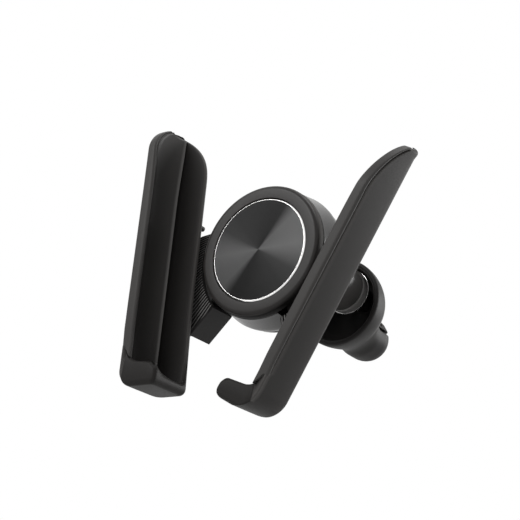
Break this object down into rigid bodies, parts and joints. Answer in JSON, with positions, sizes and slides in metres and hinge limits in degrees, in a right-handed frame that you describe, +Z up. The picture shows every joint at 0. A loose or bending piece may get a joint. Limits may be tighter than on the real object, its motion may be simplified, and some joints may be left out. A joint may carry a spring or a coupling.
{
  "type": "air vent phone holder",
  "caption": "Air vent phone holder with two linked swinging trough arms on a round drum, a ball joint with a locking nut, and a sprung vent clip.",
  "frame": {"origin": "centre of the disc plate's front face, where the phone's back rests", "axes": "+Z up, +Y rearward from the disc to the vent clip, +X to the right seen from the phone's side"},
  "size_m": [0.1074, 0.111, 0.0995],
  "materials": {
    "spun_metal": "spun, with a bright polished chamfer",
    "shell_plastic": "fine soft-touch matte",
    "soft_plastic": "soft matte liner",
    "gloss_plastic": "satin to glossy moulded plastic",
    "inner_plastic": "plain moulded plastic",
    "pad_rubber": "matte rubber",
    "steel": "bright steel"
  },
  "bodies": {
    "clip": {"clip_body": "shell_plastic", "ball_stud": "inner_plastic", "lower_jaw_pad": "pad_rubber", "jaw_pin": "steel"},
    "upper_jaw": {"upper_jaw": "shell_plastic", "upper_jaw_pad": "pad_rubber", "jaw_spring": "steel"},
    "rear_seat": {"rear_ball_seat": "inner_plastic"},
    "front_seat": {"front_ball_seat": "inner_plastic"},
    "head": {"back_cover": "shell_plastic", "drum_housing": "gloss_plastic", "bezel": "gloss_plastic", "disc_plate": "spun_metal", "cover_screw_1": "steel", "cover_screw_2": "steel", "cover_screw_3": "steel", "cover_screw_4": "steel", "left_pivot_pin": "steel", "right_pivot_pin": "steel", "left_torsion_spring": "steel", "right_torsion_spring": "steel"},
    "nut": {"locking_nut": "gloss_plastic"},
    "left_side": {"left_wing": "shell_plastic", "left_arm": "shell_plastic", "left_pad": "soft_plastic", "left_arm_screw_1": "steel", "left_arm_screw_2": "steel"},
    "right_side": {"right_wing": "shell_plastic", "right_arm": "shell_plastic", "right_pad": "soft_plastic", "right_arm_screw_1": "steel", "right_arm_screw_2": "steel"}
  },
  "joints": [
    {"name": "head_pan", "type": "hinge", "parent": "clip", "child": "rear_seat", "pos_m": [0, 0.054, 0.005], "axis": [0, 0, 1], "range_deg": [-12, 12]},
    {"name": "head_tilt", "type": "hinge", "parent": "rear_seat", "child": "front_seat", "pos_m": [0, 0.054, 0.005], "axis": [1, 0, 0], "range_deg": [-13, 0]},
    {"name": "head_roll", "type": "hinge", "parent": "front_seat", "child": "head", "pos_m": [0, 0.054, 0.005], "axis": [0, 1, 0], "continuous": true},
    {"name": "nut_turn", "type": "hinge", "parent": "head", "child": "nut", "pos_m": [0, 0.054, 0.005], "axis": [0, 1, 0], "range_deg": [0, 180]},
    {"name": "left_swing", "type": "hinge", "parent": "head", "child": "left_side", "pos_m": [-0.005, 0.008, 0.0155], "axis": [0, 1, 0], "range_deg": [0, 14], "stiffness_Nm_per_rad": 0.02, "springref_deg": -20.05},
    {"name": "right_swing", "type": "hinge", "parent": "head", "child": "right_side", "pos_m": [0.005, 0.008, 0.0155], "axis": [0, -1, 0], "range_deg": [0, 14], "stiffness_Nm_per_rad": 0.02, "springref_deg": -20.05},
    {"name": "jaw_open", "type": "hinge", "parent": "clip", "child": "upper_jaw", "pos_m": [0, 0.0818, -0.0015], "axis": [1, 0, 0], "range_deg": [0, 12], "stiffness_Nm_per_rad": 0.05, "springref_deg": -17.19}
  ],
  "couplings": [
    {"joint": "right_swing", "follows": "left_swing", "ratio": 1}
  ]
}
